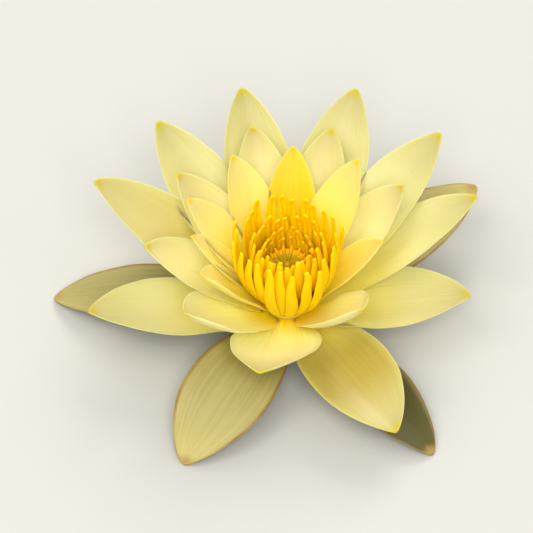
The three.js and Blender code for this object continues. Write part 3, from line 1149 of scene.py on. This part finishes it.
@dataclass
class Stem:
    """The cut stub of stem, with the air canals open at its end."""

    radius: float = 2.7
    neck: float = 3.4
    neck_height: float = 2.0
    top: float = STEM_TOP
    surface: float = SURFACE
    canals: tuple[tuple[int, float, float], ...] = ((4, 0.5, 1.25), (10, 0.16, 2.15))
    canal_depth: float = 3.0
    finish: MoistSkin = MoistSkin(
        "Stem, olive brown skin", "#4d4a18", "#7c7a30", "#9a8a4a", roughness=0.42, mottle=300.0)

    def build(self) -> None:
        """Turn the stub and drill its canals."""
        material = self.finish.material()
        rows = (
            (0.0, self.surface), (self.radius - 0.15, self.surface),
            (self.radius, self.surface + 0.12), (self.radius, self.top - self.neck_height),
            (self.neck - 0.25, self.top - 0.8), (self.neck, self.top - 0.2),
            (self.neck - 0.1, self.top), (0.0, self.top),
        )
        piece = turned("stem_stub", rows, material, segments=64)
        rule = CanalRule()
        for count, radius, ring in self.canals:
            rule.run(piece, {
                "Count": count, "Canal radius": radius * MM, "Ring radius": ring * MM,
                "Depth": self.canal_depth * MM, "End height": self.surface * MM,
                "Material": material,
            })
        put_in_frame(piece, "stem")


# ---- studio
class Lamp(Enum):
    """The soft lights: where each stands in metres from the bloom, its size, power and colour."""

    KEY = ((-0.58, -0.32, 1.28), 0.80, 6.6, "#fffbf5")
    FILL = ((0.08, -0.97, 1.16), 0.70, 12.0, "#fbfbfd")
    BACK = ((0.28, 1.05, 0.85), 0.70, 9.5, "#fffdf8")


@dataclass
class Studio:
    """A pale floor, soft lights and the camera at the photograph's viewing angle."""

    floor_size: float = 6.0
    paper: MattPaper = MattPaper("Floor, pale matt paper", "#c4c3bd")
    sky_colour: str = "#f7f6f3"
    sky_strength: float = 0.74
    elevation: float = 50.0
    distance: float = 2.0
    frame_width: float = 0.142   # metres that the picture takes in at the bloom
    sensor: float = 36.0

    def floor(self) -> None:
        """Lay the floor."""
        half = self.floor_size / 2
        mesh = bpy.data.meshes.new("floor")
        mesh.from_pydata([(-half, -half, 0), (half, -half, 0), (half, half, 0), (-half, half, 0)],
                         [], [(0, 1, 2, 3)])
        mesh.materials.append(self.paper.material())
        floor = shown("floor", mesh)

    def lights(self) -> None:
        """Hang the lamps and set the sky."""
        for lamp in Lamp:
            place, size, power, colour = lamp.value
            data = bpy.data.lights.new(lamp.name.lower(), "AREA")
            data.size = size
            data.energy = power
            data.color = srgb(colour)[:3]
            light = shown(data.name, data)
            light.location = place
            light.rotation_euler = (-Vector(place)).to_track_quat("-Z", "Y").to_euler()
        world = bpy.data.worlds.new("soft sky")
        world.use_nodes = True
        sky = world.node_tree.nodes["Background"]
        sky.inputs["Color"].default_value = srgb(self.sky_colour)
        sky.inputs["Strength"].default_value = self.sky_strength
        bpy.context.scene.world = world
        bpy.context.scene.view_settings.view_transform = "Standard"

    def camera(self) -> None:
        """Set the camera in front of the bloom, looking down at it."""
        low, high = (Vector(corner) for corner in CAD_BOUNDS)
        centre = (low + high) / 2
        tilt = math.radians(self.elevation)
        back = Vector((0.0, -math.cos(tilt), math.sin(tilt)))
        data = bpy.data.cameras.new("camera")
        data.sensor_width = self.sensor
        data.lens = self.sensor * self.distance / self.frame_width
        data.clip_start = 0.05
        data.clip_end = 20.0
        camera = shown("camera", data)
        camera.location = centre + back * self.distance
        camera.rotation_euler = (-back).to_track_quat("-Z", "Y").to_euler()
        bpy.context.scene.camera = camera

    def build(self) -> None:
        """Make the whole set."""
        self.floor()
        self.lights()
        self.camera()
        log.info("studio ready")


# ---- the bloom
def whorls() -> list[Whorl]:
    """Describe the five whorls, from the sepals in to the stamens.

    Returns:
        The whorls in building order.
    """
    opening = FRONT_HALF_ANGLE + math.degrees(GAP / COLLAR_INNER)
    return [
        # The deep colours are partly painted shade; the sepals' dark olive one is painted shade for
        # the sepal that lies in shadow.
        Whorl("sepal_whorl", "sepals", "sepal", PetalTissue(
            "Sepal, firm streaked tissue", throat="#827b2c", lower="#a19650", body="#b7ac70",
            tip="#c8bb74", beak="#b0904c", rim="#a0965a", underside="#7c833a", deep="#4a4604",
            fade=0.0, margin="#8c6236", streak=0.20, thickness=0.8),
            BladeShape(cup=0.36, rib=1.05, edge=0.55, wave=0.5, ridges=0.14),
            petals(SEPAL_ROWS, 0.0), [FlowerBase()]),
        Whorl("outer_petal_whorl", "outer_petals", "outer_petal", PetalTissue(
            "Outer petal, pale cream tissue", throat="#ffdc10", lower="#fff082", body="#e0d99b",
            tip="#bcb376", beak="#c0b01c", rim="#c8c06c", underside="#d4d092", deep="#b09a3c",
            fade=0.9),
            BladeShape(cup=0.62, rib=1.0, edge=0.5),
            petals(OUTER_ROWS, 1.9), [Collar(1.1, 3.0)]),
        Whorl("middle_petal_whorl", "middle_petals", "middle_petal", PetalTissue(
            "Middle petal, light yellow tissue", throat="#ffdc14", lower="#fff48c", body="#f2e6a0",
            tip="#c6bc82", beak="#c6b22a", rim="#d4ca7c", underside="#e4dea6", deep="#f4dc44",
            fade=0.6, gloss=0.25, throat_end=0.10),
            BladeShape(cup=0.68, rib=0.95, edge=0.48),
            petals(MIDDLE_ROWS, 4.15), [Collar(3.3, 5.2)]),
        Whorl("inner_petal_whorl", "inner_petals", "inner_petal", PetalTissue(
            "Inner petal, warm yellow tissue", throat="#ffdc00", lower="#fff226", body="#ece07e",
            tip="#d8cc88", beak="#dcbe28", rim="#e6d060", underside="#efe386", deep="#f2c80c",
            fade=0.2, gloss=0.2, throat_end=0.10),
            BladeShape(cup=0.75, rib=0.9, edge=0.45, wave=0.35),
            petals(INNER_ROWS, 6.3),
            [Collar(5.5, 7.4, start=FRONT_AZIMUTH + opening, span=360.0 - 2 * opening)]),
        Whorl("stamen_goblet", "stamens", "stamen", PollenTissue(
            "Stamen, golden powdery tissue", base="#ffc000", strap="#ffcb00", tip="#f8c800",
            pollen="#ffe400", deep="#ffbe00"),
            BladeShape(cup=0.5, rib=0.85, edge=0.6, wave=0.10, ridges=0.0, groove=0.45,
                       widest_at=0.40, root_share=0.6, tip_share=0.30, tip_power=0.75, keel=0.0,
                       margin=0.3, sway=1.8, rows=30, section=20),
            stamens(), [
                Collar(7.7, 17.0, top_radius=5.9),
                Collar(5.5, 8.2, start=FRONT_AZIMUTH - FRONT_HALF_ANGLE, span=2 * FRONT_HALF_ANGLE),
            ]),
    ]


def main() -> None:
    """Build the studio and the bloom, and report each piece."""
    logging.basicConfig(level=logging.INFO, format="%(name)s: %(message)s")
    Studio().build()
    rule = BladeRule()
    for whorl in whorls():
        whorl.build(rule)
    Pistil().build(rule)
    Stem().build()
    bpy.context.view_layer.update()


if __name__ == "__main__":
    main()
